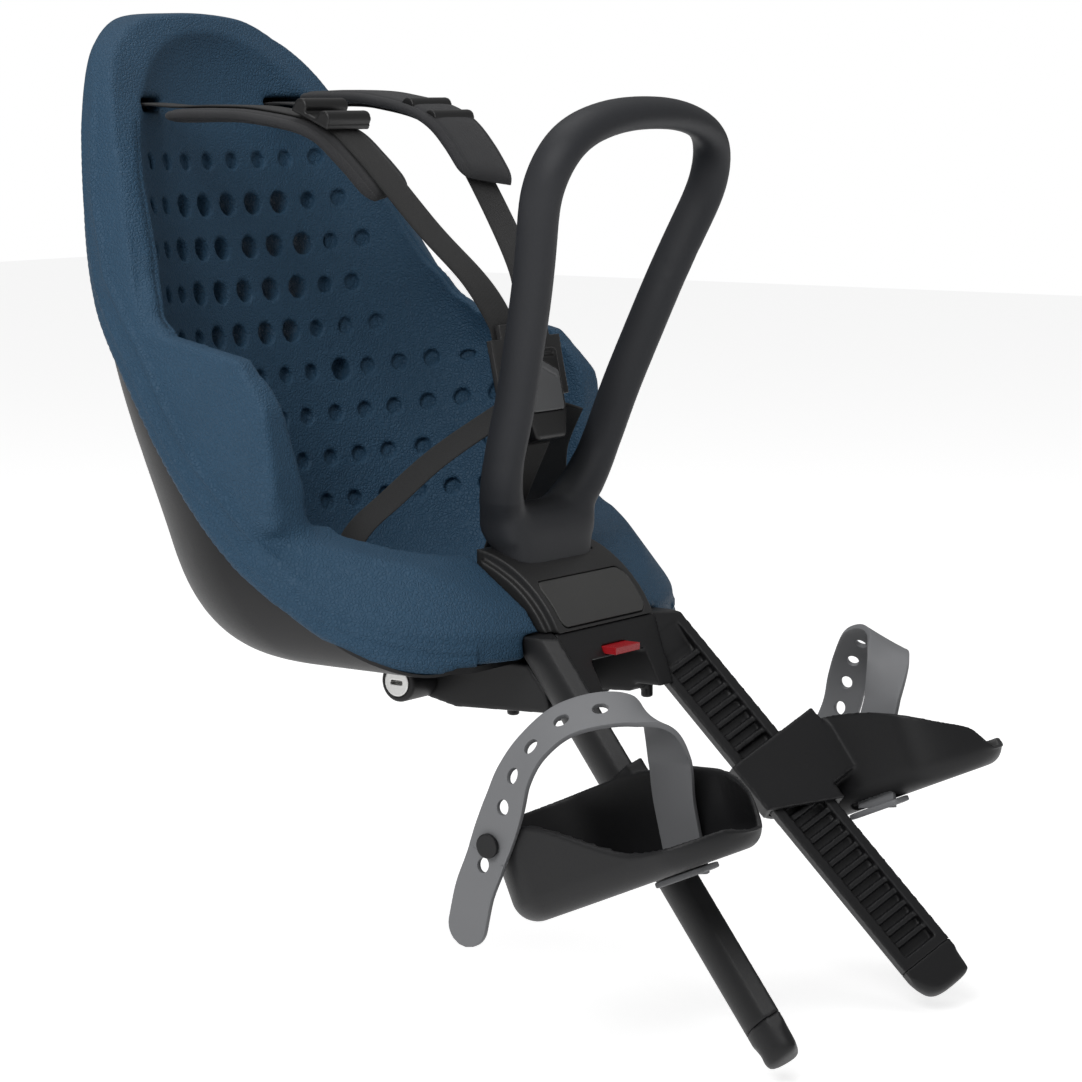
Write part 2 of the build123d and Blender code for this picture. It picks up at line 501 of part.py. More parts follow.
STRAP_HOLES = [2, 3, 4, 5, 6, 7, 8]  # stations that carry a hole


def strap_hole(i):
    """Oval hole through the strap at one of its stations."""
    run = (Vector(*foot_stations[i + 1][0]) - Vector(*foot_stations[i - 1][0])).normalized()
    side = Vector(*foot_stations[i][1])
    side = (side - run * side.dot(run)).normalized()
    return Plane(origin=foot_stations[i][0], x_dir=run, z_dir=run.cross(side)) * extrude(Ellipse(4.3, 3.6), amount=7, both=True)


foot_strap = ribbon(foot_stations, STRAP_WIDE, STRAP_THICK)
tail = Plane(origin=foot_stations[0][0], x_dir=ALONG, z_dir=(-1, 0, 0))
foot_strap += tail * Cylinder(STRAP_WIDE / 2, STRAP_THICK)
foot_strap += foot_plane * Pos(STRAP_IN_X - 2, STRAP_IN_Y, FOOT_LOW - 2.2) * Box(18, STRAP_WIDE + 10, 3.6)
foot_strap = foot_strap - [strap_hole(i) for i in STRAP_HOLES]
save_pair(foot_strap, "foot_strap")
stud_axis = Plane(origin=stud_at, z_dir=(-1, 0, 0))
stud = stud_axis * (Pos(0, 0, 1.35) * Cylinder(STUD_D / 2, 6.7) + Pos(0, 0, 5.4) * Cylinder(6.5, 2.6))
stud += stud_axis * Pos(0, 0, -4.5) * Cylinder(STUD_D / 3 - PIN_FIT, 6)
save_pair(stud, "strap_stud")

# Shoulder straps, their pads and adjusters, held by anchor bars behind the shell
ACROSS = (1, 0, 0)
strap_end = buckle_plane.from_local_coords((-13, BUCKLE_TALL + 3, -3.2))
strap_bend = buckle_plane.from_local_coords((-14, BUCKLE_TALL + 18, -3.6))
ANCHOR_Y = 310.9
shoulder = [((-SLOT_X, ANCHOR_Y - 4.2, SLOT_Z - 1), ACROSS), ((-SLOT_X, 293, SLOT_Z - 0.5), ACROSS), ((-SLOT_X, 276, SLOT_Z + 0.5), ACROSS),
            ((-62, 248, 314), ACROSS), ((-60, 220, 314.5), ACROSS), ((-54, 190, 313), ACROSS), ((-49, 152, 305), ACROSS),
            ((-46, 128, 287), ACROSS), ((-36, 94, 247), ACROSS), ((-24, 70, 218), ACROSS), (tuple(strap_bend), ACROSS),
            (tuple(strap_end), ACROSS)]
save_pair(ribbon(shoulder, WEB_WIDE, WEB_THICK), "shoulder_strap")
pad_drop = -(WEB_THICK + SHOULDER_PAD_THICK) / 2 - 0.8
shoulder_pad = ribbon(shoulder, SHOULDER_PAD_WIDE, SHOULDER_PAD_THICK, pad_drop, 3, 8)
save_pair(shoulder_pad, "shoulder_pad")
ADJUSTER_WIDE = 38
ADJUSTER_LONG = 28
adjuster_plane = Plane(origin=(-49.5, 153, 305.6), x_dir=ACROSS, z_dir=(0, -0.39, 0.92))
adjuster = Pos(0, 0, WEB_THICK / 2 + 2) * Box(ADJUSTER_WIDE, ADJUSTER_LONG, 3)
adjuster += [Pos(0, y, 6) * Rot(0, 90, 0) * Cylinder(4.6, ADJUSTER_WIDE) for y in (-9, 9)]
save_pair(adjuster_plane * adjuster, "strap_adjuster")
anchor_out = Vector(-0.25, 0.94, -0.23)
anchor_plane = Plane(origin=(-SLOT_X, ANCHOR_Y, SLOT_Z - 1), x_dir=(0.966, 0.257, 0), z_dir=anchor_out)
save_pair(anchor_plane * extrude(RectangleRounded(WEB_WIDE + 14, 16, 4), amount=4), "strap_anchor")

# Buckle in front of the child, with its press button, two tongues, the lap straps and the crotch strap
BUTTON = [(-15, -12), (15, -12), (15, 10), (0, 17), (-15, 10)]
buckle_outline = [(-BUCKLE_HALF, BUCKLE_TALL), (BUCKLE_HALF, BUCKLE_TALL), (BUCKLE_HALF, -8), (BUCKLE_HALF - 5, -BUCKLE_LOW),
                  (5 - BUCKLE_HALF, -BUCKLE_LOW), (-BUCKLE_HALF, -8)]
buckle_face = make_face(FilletPolyline(*buckle_outline, radius=3, close=True).edges())
buckle = extrude(buckle_face, amount=BUCKLE_DEEP, both=True)
buckle = fillet(buckle.faces().sort_by(Axis.Z)[-1].edges(), 2.5)
button_face = make_face(FilletPolyline(*BUTTON, radius=2, close=True).edges())
button_well = Pos(0, 4, BUCKLE_DEEP - 6) * extrude(offset(button_face, amount=GAP), amount=20)
save(buckle_plane * (buckle - button_well), "buckle_body")
save(buckle_plane * Pos(0, 4, BUCKLE_DEEP - 6 + BUTTON_TRAVEL) * extrude(button_face, amount=4), "buckle_button")
tongue = Pos(-13, BUCKLE_TALL + 8, 0) * Box(20, 15.4, 4) + Pos(-BUCKLE_HALF - 7, 18, 0) * Box(13.6, 34, 4)
tongue += Pos(-BUCKLE_HALF - 4, BUCKLE_TALL + 4, 0) * Box(20, 7, 4)
save_pair(buckle_plane * tongue, "buckle_tongue")
save_pair(ribbon(lap, WEB_WIDE, WEB_THICK), "lap_strap")
CROTCH_END = OUTER[0][0] + RIM_PROUD + SHELL_WALL + 0.4  # just above the shell's floor
crotch_top = buckle_plane.from_local_coords((0, -BUCKLE_LOW - 0.8, -3))
crotch = [((0, crotch_top.Y, crotch_top.Z), ACROSS), ((0, 56, 100), ACROSS), ((0, 67, 76), ACROSS), ((0, 76, 52), ACROSS),
          ((0, 78, 34), ACROSS), ((0, 78, CROTCH_END), ACROSS)]
save(ribbon(crotch, WEB_WIDE, WEB_THICK), "crotch_strap")

# Key lock on the right side of the base
lock_axis = Plane(origin=(-BASE_HALF, LOCK_Y, LOCK_Z), z_dir=(-1, 0, 0))
LOCK_LONG = LOCK_X - BASE_HALF
boss = extrude(lock_axis * Circle(LOCK_BOSS), amount=LOCK_LONG)
boss = fillet(boss.faces().sort_by(Axis.X)[0].edges(), 2)
boss = boss - lock_axis * Pos(0, 0, LOCK_LONG / 2 + 4) * Cylinder(LOCK_D / 2 + PIN_FIT, LOCK_LONG)
save(boss, "lock_housing")
barrel = lock_axis * Pos(0, 0, 4 + (LOCK_LONG - 3) / 2) * Cylinder(LOCK_D / 2, LOCK_LONG - 3.6)
key_slot = lock_axis * Pos(0, 0, LOCK_LONG) * Box(2, 8, 8)
save(barrel - key_slot, "lock_barrel")
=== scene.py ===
import bpy
import math
import numpy as np
from mathutils import Matrix, Vector


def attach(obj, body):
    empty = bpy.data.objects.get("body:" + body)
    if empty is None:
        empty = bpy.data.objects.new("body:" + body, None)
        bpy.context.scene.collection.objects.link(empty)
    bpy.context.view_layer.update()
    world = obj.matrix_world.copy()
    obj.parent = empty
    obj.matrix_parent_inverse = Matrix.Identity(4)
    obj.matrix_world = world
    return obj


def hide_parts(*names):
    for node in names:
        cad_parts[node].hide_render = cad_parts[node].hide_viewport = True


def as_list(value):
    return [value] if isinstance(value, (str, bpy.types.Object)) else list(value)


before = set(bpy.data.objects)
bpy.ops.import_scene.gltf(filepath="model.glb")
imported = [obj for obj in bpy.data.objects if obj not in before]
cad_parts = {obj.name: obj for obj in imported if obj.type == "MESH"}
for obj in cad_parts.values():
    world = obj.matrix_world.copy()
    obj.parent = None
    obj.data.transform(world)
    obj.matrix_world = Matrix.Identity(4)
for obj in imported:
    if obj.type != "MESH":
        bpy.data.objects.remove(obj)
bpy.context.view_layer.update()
scene = bpy.context.scene


# Foam pad: one moulding of slate-blue EVA foam with a fine leather grain, pressed into the plastic shell.
# Its solids are joined and relaxed so that the rim, armrests and lip get soft moulded edges, and two thin
# beads follow the edge of the shell along the outside.
PAD_BLUE = (0.026, 0.071, 0.126)
PAD_NODES = ("pad_back", "pad_base", "pad_side_left", "pad_side_right")
PAD_VOXEL = 0.0016
SIDE_CUTS = np.arange(4) * 0.086 / 3  # flat cuts between the pad's solids, at both sides of the middle
LEVEL_CUTS = (0.058, 0.130)
CUT_SLACK = 2e-6


def mesh_arrays(mesh):
    """Corner points and triangles of a mesh, as arrays."""
    points = np.empty(len(mesh.vertices) * 3)
    mesh.vertices.foreach_get("co", points)
    mesh.calc_loop_triangles()
    triangles = np.empty(len(mesh.loop_triangles) * 3, np.int64)
    mesh.loop_triangles.foreach_get("vertices", triangles)
    return points.reshape(-1, 3), triangles.reshape(-1, 3)


def new_piece(name, points, faces):
    """Mesh object at the origin from points and faces, smooth shaded."""
    mesh = bpy.data.meshes.new(name)
    mesh.from_pydata(np.asarray(points).tolist(), [], [list(map(int, f)) for f in faces])
    mesh.update()
    mesh.shade_smooth()
    piece = bpy.data.objects.new(name, mesh)
    scene.collection.objects.link(piece)
    return piece


def merged(points, faces):
    """Points and faces with the points that coincide, to a ten-thousandth of a millimetre, made one."""
    points, back = np.unique(np.round(points, 7), axis=0, return_inverse=True)
    return points, back.reshape(-1)[faces]


def joined_solids(name, node_names, drop=None):
    """Copy of CAD solids as one object, with the corner points that coincide merged into one."""
    points, triangles, start = [], [], 0
    for node_name in node_names:
        p, t = mesh_arrays(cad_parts[node_name].data)
        points.append(p)
        triangles.append(t + start)
        start += len(p)
    points, triangles = np.concatenate(points), np.concatenate(triangles)
    if drop is not None:
        triangles = triangles[~drop(points[triangles])]
    return new_piece(name, *merged(points, triangles))


def applied(piece):
    """Put the result of a piece's modifiers into its mesh."""
    bpy.context.view_layer.update()
    skin = bpy.data.meshes.new_from_object(piece.evaluated_get(bpy.context.evaluated_depsgraph_get()))
    piece.modifiers.clear()
    piece.data = skin
    skin.name = piece.name
    return skin


def reshape(mesh, points):
    """Give a mesh new corner points."""
    mesh.vertices.foreach_set("co", points.ravel())
    mesh.update()


def edge_pairs(mesh):
    """Edges of a mesh as an array of vertex pairs."""
    pairs = np.empty(len(mesh.edges) * 2, np.int64)
    mesh.edges.foreach_get("vertices", pairs)
    return pairs.reshape(-1, 2)


def vertex_normals(mesh):
    """Normals of a mesh at its corner points."""
    normals = np.empty(len(mesh.vertices) * 3)
    mesh.vertex_normals.foreach_get("vector", normals)
    return normals.reshape(-1, 3)


def relax(values, pairs, weight, rounds, keep=0.52):
    """Move every point halfway to the mean of its neighbours and then by the share called keep back again,
    times its own weight, so that corners round off while the volume stays. With keep at zero the form is
    worn down."""
    ends = np.concatenate([pairs[:, 0], pairs[:, 1]])
    others = np.concatenate([pairs[:, 1], pairs[:, 0]])
    count = np.maximum(np.bincount(ends, minlength=len(values)), 1).astype(float)[:, None]
    for step in [0.5, -keep] * rounds if keep else [0.5] * rounds:
        total = np.stack([np.bincount(ends, column[others], len(values)) for column in values.T], 1)
        values = values + step * weight[:, None] * (total / count - values)
    return values


def moulding(name, node_names, voxel, rounds, drop=None):
    """Copy of CAD solids as one moulded skin: remeshed on a voxel grid and relaxed a few rounds, which rounds
    every edge by about a voxel."""
    piece = joined_solids(name, node_names, drop)
    remesh = piece.modifiers.new("remesh", "REMESH")
    remesh.mode = "VOXEL"
    remesh.voxel_size = voxel
    skin = applied(piece)
    points, _ = mesh_arrays(skin)
    reshape(skin, relax(points, edge_pairs(skin), np.ones(len(points)), rounds))
    skin.shade_smooth()
    return piece


def in_a_cut(corners):
    """Triangles that lie in one of the flat cuts between the solids."""
    flat = lambda axis, at: np.all(np.abs(np.abs(corners[:, :, axis]) - at) < CUT_SLACK, axis=1)
    return np.any([flat(0, x) for x in SIDE_CUTS] + [flat(2, z) for z in LEVEL_CUTS], axis=0)


def ramp(value, start, end):
    """Zero at start, one at end, a straight line between."""
    return np.clip((value - start) / (end - start), 0, 1)


def within(value, low, high):
    """True where a value lies between two limits."""
    return (value > low) & (value < high)


def bead(distance, at, height, spread):
    """Height of a raised line: a bell curve of the distance from it."""
    return height * np.exp(-((distance - at) / spread) ** 2)


# every point's depth below the surface of the hollow, which is a half ellipse with straight sides in front;
# the table has, in millimetres, a level, the half width, the place of the back and the ellipse's depth
HOLLOW = np.array([(30, 88, 184, 70), (42, 110, 208, 84), (70, 123, 226, 86), (110, 132, 237, 80),
                   (150, 141, 246.5, 72), (190, 137, 256, 66), (230, 121.5, 266, 58), (270, 113, 275.5, 50),
                   (310, 95, 285, 38), (338, 73, 291, 26)]) / 1000
NEAR_AXIS = 0.01  # keeps the divisions finite in the middle of the hollow
pad = moulding("pad_foam", PAD_NODES, PAD_VOXEL, rounds=1, drop=in_a_cut)
skin = pad.data
pairs = edge_pairs(skin)
points, _ = mesh_arrays(skin)
x, y, z = points.T
half, rear, depth = (np.interp(z, HOLLOW[:, 0], HOLLOW[:, k]) for k in (1, 2, 3))
behind = np.maximum(y - (rear - depth), 0)
from_axis = np.hypot(x, behind)
reach = np.sqrt((x / half) ** 2 + (behind / depth) ** 2)
inward = from_axis * (1 - 1 / np.maximum(reach, NEAR_AXIS))

# the field of dimples and through holes stays as it is, and all other edges are worn soft, most of all in the
# corner where an armrest stands on the lip
FIELD_SKIN = (-0.004, 0.008)
FIELD_LEVELS = (0.060, 0.305)
FIELD_FRONT = 0.121
WING_REAR = 0.190  # in front of this the field ends under the armrest
WING_TOP = 0.160
DRILL_DEEP = 0.050
DRILL_HALF = 0.075
DRILL_FRONT = 0.200
DRILL_LEVELS = (0.150, 0.275)
CORNER = (0.145, 0.103, 0.083)
CORNER_REACH = (0.030, 0.026, 0.022)
CORNER_FADE = (0.6, 1.1)
field = within(inward, *FIELD_SKIN) & within(z, *FIELD_LEVELS) & (y > FIELD_FRONT)
field &= (y > WING_REAR) | (z < WING_TOP)
drilled = (np.abs(x) < DRILL_HALF) & (y > DRILL_FRONT)
field |= within(inward, 0, DRILL_DEEP) & drilled & within(z, *DRILL_LEVELS)
everywhere = np.ones(len(points))
soft = relax(np.where(field, 0.0, 1.0)[:, None], pairs, everywhere, rounds=5, keep=0)[:, 0]
corner = np.linalg.norm((np.abs(points) - CORNER) / CORNER_REACH, axis=1)
points = relax(points, pairs, soft, rounds=20)
points = relax(points, pairs, soft, rounds=10, keep=0)
points = relax(points, pairs, 1 - ramp(corner, *CORNER_FADE), rounds=60, keep=0)
reshape(skin, points)

# the holes and dimples keep the crisp edges of the solids
solids = joined_solids("pad_solids", PAD_NODES, in_a_cut)
crisp = pad.vertex_groups.new(name="hole field")
crisp.add(np.flatnonzero(field).tolist(), 1.0, "REPLACE")
wrap = pad.modifiers.new("true to the solids", "SHRINKWRAP")
wrap.target = solids
wrap.vertex_group = crisp.name
skin = applied(pad)
pad.vertex_groups.clear()
bpy.data.objects.remove(solids)
points, _ = mesh_arrays(skin)

# the dimples are shallow, the rows of holes rise toward the sides by the square of the column, and the top of
# the rim is crowned by the square of the distance from the middle
DIMPLE_DEEP = 0.0038
HOLES_FROM = 0.144  # lowest level of the through holes
COLUMN_PITCH = 0.0216
LAST_COLUMN = 8
ROW_BOW = 0.00023
SKIN_FADE = 0.008
LOW_FADE = (0.045, 0.070)
HIGH_FADE = (0.295, 0.325)
FRONT_FADE = (0.112, 0.135)
WING_REAR_FADE = (0.190, 0.210)
WING_TOP_FADE = (0.148, 0.170)
CROWN_DROP = 0.0026
CROWN_AT = 0.040  # the rim's top is lower by the drop at this distance from the middle
CROWN_HALF = 0.070
CROWN_LEVELS = (0.30, 0.37)
dimples = field & ~(drilled & within(z, HOLES_FROM, DRILL_LEVELS[1]))
too_deep = dimples & within(inward, DIMPLE_DEEP, FIELD_SKIN[1])
rise = np.where(too_deep, (inward - DIMPLE_DEEP) / np.maximum(from_axis, NEAR_AXIS), 0)
points[:, 0] -= rise * x
points[:, 1] -= rise * behind
turn = np.arctan2(np.abs(x) / half, behind / depth)
column = (turn * (half + depth) / 2 + np.maximum(rear - depth - y, 0)) / COLUMN_PITCH
on_hollow = ramp(inward, FIELD_SKIN[0] - SKIN_FADE, FIELD_SKIN[0])
on_hollow *= 1 - ramp(inward, FIELD_SKIN[1], FIELD_SKIN[1] + SKIN_FADE)
on_hollow *= ramp(z, *LOW_FADE) * (1 - ramp(z, *HIGH_FADE)) * ramp(y, *FRONT_FADE)
on_hollow *= np.maximum(ramp(y, *WING_REAR_FADE), 1 - ramp(z, *WING_TOP_FADE))
points[:, 2] += ROW_BOW * np.minimum(column, LAST_COLUMN) ** 2 * on_hollow
points[:, 2] -= CROWN_DROP * (np.minimum(np.abs(x), CROWN_HALF) / CROWN_AT) ** 2 * ramp(z, *CROWN_LEVELS) ** 2
reshape(skin, points)

# the two beads outside, and the pad's rolled edge on the shell: each has its distance from the shell's edge,
# its height and its spread; the shell's edge is given from the side, in millimetres
SHELL_EDGE = np.array([(-40, 12), (9, 13), (28, 14.5), (50, 21), (80, 31), (97, 42), (124, 59), (173, 107),
                       (216, 163), (258, 208), (283, 255), (301, 309), (312, 340), (329, 368),
                       (338, 390)]) / 1000
EDGE_STEPS = 160
UPPER_BEAD = (0.019, 0.0020, 0.0016)
LOWER_BEAD = (0.0085, 0.0014, 0.0016)
ROLLED_EDGE = (0.001, 0.0020, 0.0045)
UPPER_BEAD_FADE = (0.09, 0.12)
BEAD_TOP_FADE = (0.30, 0.34)
LIP_FADE = (0.045, 0.060)
FACING_SIDE = (0.15, 0.45)  # the normal's share, from no bead to the full one
FACING_DOWN = (-0.2, 0.1)
along = np.linspace(0, len(SHELL_EDGE) - 1, EDGE_STEPS)
edge_y, edge_z = (np.interp(along, np.arange(len(SHELL_EDGE)), SHELL_EDGE[:, k]).astype(np.float32)
                  for k in (0, 1))
seen_y, seen_z = points[:, 1:].astype(np.float32).T[:, :, None]
from_edge = np.sqrt(np.min((seen_y - edge_y) ** 2 + (seen_z - edge_z) ** 2, axis=1))
normals = vertex_normals(skin)
foam_outside = inward > FIELD_SKIN[1]
outside = ramp(normals[:, 0] * np.sign(x), *FACING_SIDE) * foam_outside * (1 - ramp(z, *BEAD_TOP_FADE))
under = ramp(-normals[:, 2], *FACING_DOWN) * foam_outside * (1 - ramp(z, *LIP_FADE))
lift = bead(from_edge, *UPPER_BEAD) * ramp(y, *UPPER_BEAD_FADE) * outside
lift += bead(from_edge, *LOWER_BEAD) * outside
lift += bead(from_edge, *ROLLED_EDGE) * np.maximum(outside, under)
reshape(skin, points + normals * lift[:, None])

GRAIN_DEEP = 0.0005
MIX_FACTOR, MIX_FIRST, MIX_SECOND, MIX_RESULT = 0, 6, 7, 2  # a mix node's sockets when it mixes colours


def emboss(material, height, strength, deep):
    """Lay a relief, given by a height socket, over the one that a material already has."""
    nodes, links = material.node_tree.nodes, material.node_tree.links
    normal = nodes["Principled BSDF"].inputs["Normal"]
    bump = nodes.new("ShaderNodeBump")
    bump.inputs["Strength"].default_value = strength
    bump.inputs["Distance"].default_value = deep
    links.new(height, bump.inputs["Height"])
    if normal.is_linked:
        links.new(normal.links[0].from_socket, bump.inputs["Normal"])
    links.new(bump.outputs["Normal"], normal)


def finish(name, colour, roughness, grain=1500.0, relief=0.10, mottle=0.10, metal=0.0, sheen=0.0, gloss=0.5):
    """Moulded finish: a fine grain in the relief and the roughness, and a slow drift of the colour, all on
    object coordinates."""
    m = bpy.data.materials.new(name)
    m.use_nodes = True
    nodes, links = m.node_tree.nodes, m.node_tree.links
    shader = nodes["Principled BSDF"]
    place = nodes.new("ShaderNodeTexCoord")
    fine = nodes.new("ShaderNodeTexNoise")
    fine.inputs["Scale"].default_value = grain
    fine.inputs["Detail"].default_value = 3.0
    slow = nodes.new("ShaderNodeTexNoise")
    slow.inputs["Scale"].default_value = 24.0
    slow.inputs["Detail"].default_value = 5.0
    links.new(place.outputs["Object"], fine.inputs["Vector"])
    links.new(place.outputs["Object"], slow.inputs["Vector"])
    tint = nodes.new("ShaderNodeMix")
    tint.data_type = "RGBA"
    tint.inputs[MIX_FIRST].default_value = (*[c * (1 - mottle) for c in colour], 1)
    tint.inputs[MIX_SECOND].default_value = (*[c * (1 + mottle) for c in colour], 1)
    links.new(slow.outputs["Fac"], tint.inputs[MIX_FACTOR])
    links.new(tint.outputs[MIX_RESULT], shader.inputs["Base Color"])
    shine = nodes.new("ShaderNodeMapRange")
    shine.inputs["From Min"].default_value = 0.3
    shine.inputs["From Max"].default_value = 0.7
    shine.inputs["To Min"].default_value = roughness - 0.05
    shine.inputs["To Max"].default_value = roughness + 0.06
    links.new(fine.outputs["Fac"], shine.inputs["Value"])
    links.new(shine.outputs["Result"], shader.inputs["Roughness"])
    shader.inputs["Metallic"].default_value = metal
    shader.inputs["Sheen Weight"].default_value = sheen
    shader.inputs["Specular IOR Level"].default_value = gloss
    emboss(m, fine.outputs["Fac"], relief, GRAIN_DEEP)
    return m


def foam_finish(name, colour):
    """Foam skin: pebbles of a leather grain, from the distance to the edges of small cells, over the fine
    grain."""
    m = finish(name, colour, roughness=0.60, grain=1300.0, relief=0.10, mottle=0.07, gloss=0.30)
    nodes, links = m.node_tree.nodes, m.node_tree.links
    place = nodes.new("ShaderNodeTexCoord")
    pebbles = nodes.new("ShaderNodeTexVoronoi")
    pebbles.feature = "DISTANCE_TO_EDGE"
    pebbles.inputs["Scale"].default_value = 470.0
    crease = nodes.new("ShaderNodeMapRange")
    crease.inputs["From Max"].default_value = 0.22
    links.new(place.outputs["Object"], pebbles.inputs["Vector"])
    links.new(pebbles.outputs["Distance"], crease.inputs["Value"])
    emboss(m, crease.outputs["Result"], strength=0.75, deep=GRAIN_DEEP)
    return m


def dress(piece, material, body, slot, *node_names):
    """Give a piece its material and the body it rides on, and hide the solids it stands for. The slot is not
    used.
    """
    piece.data.materials.clear()
    piece.data.materials.append(material)
    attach(piece, body)
    if node_names:
        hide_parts(*node_names)


dress(pad, foam_finish("foam_blue", PAD_BLUE), "seat", "foam", *PAD_NODES)


# Seat shell: a thin black polypropylene bucket round the back of the pad, injection moulded with vents that
# meet the pad's holes, and slots where the shoulder straps pass through. It is the solid itself, because the
# line where its edge meets the foam has to stay clean.
SHELL_BLACK = (0.0085, 0.0085, 0.0094)
SHARP_EDGE = 0.6  # radians; the wall's rim and the vents turn by more than this
black = finish("black_plastic", SHELL_BLACK, roughness=0.48, grain=1700.0, relief=0.12, gloss=0.32)
shell = joined_solids("shell_black", ["seat_shell"])
shell.data.set_sharp_from_angle(angle=SHARP_EDGE)
dress(shell, black, "seat", "black_plastic", "seat_shell")


# Front housing: a black glass-filled block between the legs that drops on the bracket, with a socket under
# it, feet and four hex screws below, and a red release tab in front.
TAB_RED = (0.42, 0.012, 0.018)
SCREW_ZINC = (0.42, 0.42, 0.42)
housing = moulding("housing_block", ["front_housing"], voxel=0.0011, rounds=2)
dress(housing, black, "seat", "black_plastic", "front_housing")
red = finish("red_plastic", TAB_RED, roughness=0.30, relief=0.03)
tab = moulding("tab_red", ["release_tab"], voxel=0.0005, rounds=3)
dress(tab, red, "tab", "red_tab", "release_tab")
zinc = finish("zinc_steel", SCREW_ZINC, roughness=0.36, grain=900.0, relief=0.06, metal=1.0)
screws = moulding("screws_zinc", ["base_screws"], voxel=0.0004, rounds=1)
dress(screws, zinc, "seat", "steel", "base_screws")


# Cover: a satin black hood screwed over the block, with a plain dark-grey panel let into its slope.
# Both are injection moulded, and the panel has the coarser, greyer skin.
COVER_GREY = (0.018, 0.018, 0.0184)
PANEL_GREY = (0.050, 0.050, 0.049)
cover_skin = finish("cover_plastic", COVER_GREY, roughness=0.46, grain=1900.0, gloss=0.4)
cover = moulding("cover_hood", ["housing_cover"], voxel=0.0008, rounds=4)
dress(cover, cover_skin, "seat", "black_plastic", "housing_cover")
panel_skin = finish("panel_plastic", PANEL_GREY, roughness=0.55, grain=2100.0, gloss=0.4)
panel = moulding("cover_panel_grey", ["cover_panel"], voxel=0.0006, rounds=3)
dress(panel, panel_skin, "seat", "panel_plastic", "cover_panel")


# Grab handle: an upright loop on a flat stem, overmoulded in charcoal soft-touch rubber.
# Its foot is worn soft and swollen a little, so that the loop flows into the stem.
GRIP_CHARCOAL = (0.0215, 0.0228, 0.0265)
FOOT_LEVELS = (0.096, 0.120)
FOOT_SWELL = 0.0034
handle = moulding("handle_loop", ["grab_handle"], voxel=0.0013, rounds=8)
points, _ = mesh_arrays(handle.data)
foot = 1 - ramp(points[:, 2], *FOOT_LEVELS)
reshape(handle.data, relax(points, edge_pairs(handle.data), foot, rounds=110, keep=0))
points, _ = mesh_arrays(handle.data)
reshape(handle.data, points + vertex_normals(handle.data) * FOOT_SWELL * foot[:, None])
grip = finish("soft_grip", GRIP_CHARCOAL, roughness=0.56, grain=2400.0, relief=0.08, gloss=0.35)
dress(handle, grip, "seat", "grip", "grab_handle")


# Legs: two straight ribbed rails moulded in black nylon, with a ladder of rungs in front and round-ended
# caps pushed on their feet.
SIDES = (("right", 1), ("left", -1))  # the right side is drawn, and the left is its mirror image
LEG_ROOT = np.array((-0.0505, 0.0091, 0.0270))
LEG_END = np.array((-0.0865, -0.1790, -0.1773))
CAP_ROUNDED = (0.25, 0.60)  # shares of the cap's length between which the rounding sets in
leg_run = (LEG_END - LEG_ROOT) / np.linalg.norm(LEG_END - LEG_ROOT)
for tag, sign in SIDES:
    leg = moulding("leg_rail_" + tag, ["leg_" + tag], voxel=0.0009, rounds=2)
    dress(leg, black, "seat", "black_plastic", "leg_" + tag)
    cap = moulding("leg_foot_" + tag, ["leg_cap_" + tag], voxel=0.0009, rounds=5)
    points, _ = mesh_arrays(cap.data)
    down = points @ (leg_run * (sign, 1, 1))
    end = ramp((down - down.min()) / np.ptp(down), *CAP_ROUNDED)
    reshape(cap.data, relax(points, edge_pairs(cap.data), end, rounds=130, keep=0))
    dress(cap, black, "seat", "black_plastic", "leg_cap_" + tag)


# Footrests: deep black dishes with a sleeve that slides on the leg, and a stud for the strap. The rim of each
# dish comes down to a low pointed toe with one raised corner.
TILT = math.radians(24)
FOOT_MIDDLE = np.array((-0.130, -0.108, -0.080))
FOOT_AXES = np.array([(1, 0, 0), (0, math.cos(TILT), -math.sin(TILT)), (0, math.sin(TILT), math.cos(TILT))])
TOE_RUN = (0.045, 0.086)  # where the dish narrows, forward of its middle
TOE_NARROWED = 0.45
TOE_CORNER = (-0.079, 0.0035, 0.008)  # place along the dish, height and spread
CORNER_ACROSS = (0.006, 0.020)
CORNER_LEVELS = (0.003, 0.010)
TOE_LOWERED = 0.9
LOW_RUN = (0.077, 0.085)
LOW_ACROSS = (0.008, 0.020)
for tag, sign in SIDES:
    dish = moulding("footrest_dish_" + tag, ["footrest_" + tag], voxel=0.0011, rounds=4)
    points, _ = mesh_arrays(dish.data)
    across, run, height = ((points * (sign, 1, 1) - FOOT_MIDDLE) @ FOOT_AXES.T).T
    lift = bead(run, *TOE_CORNER) * ramp(across, *CORNER_ACROSS) * ramp(height, *CORNER_LEVELS)
    lift -= TOE_LOWERED * np.maximum(height, 0) * ramp(-run, *LOW_RUN) * (1 - ramp(across, *LOW_ACROSS))
    points[:, 0] -= sign * TOE_NARROWED * ramp(-run, *TOE_RUN) ** 2 * across
    reshape(dish.data, points + lift[:, None] * FOOT_AXES[2])
    dress(dish, black, "footrest_" + tag, "black_plastic", "footrest_" + tag)
    stud = moulding("stud_knob_" + tag, ["strap_stud_" + tag], voxel=0.0005, rounds=3)
    dress(stud, black, "footrest_" + tag, "black_plastic", "strap_stud_" + tag)


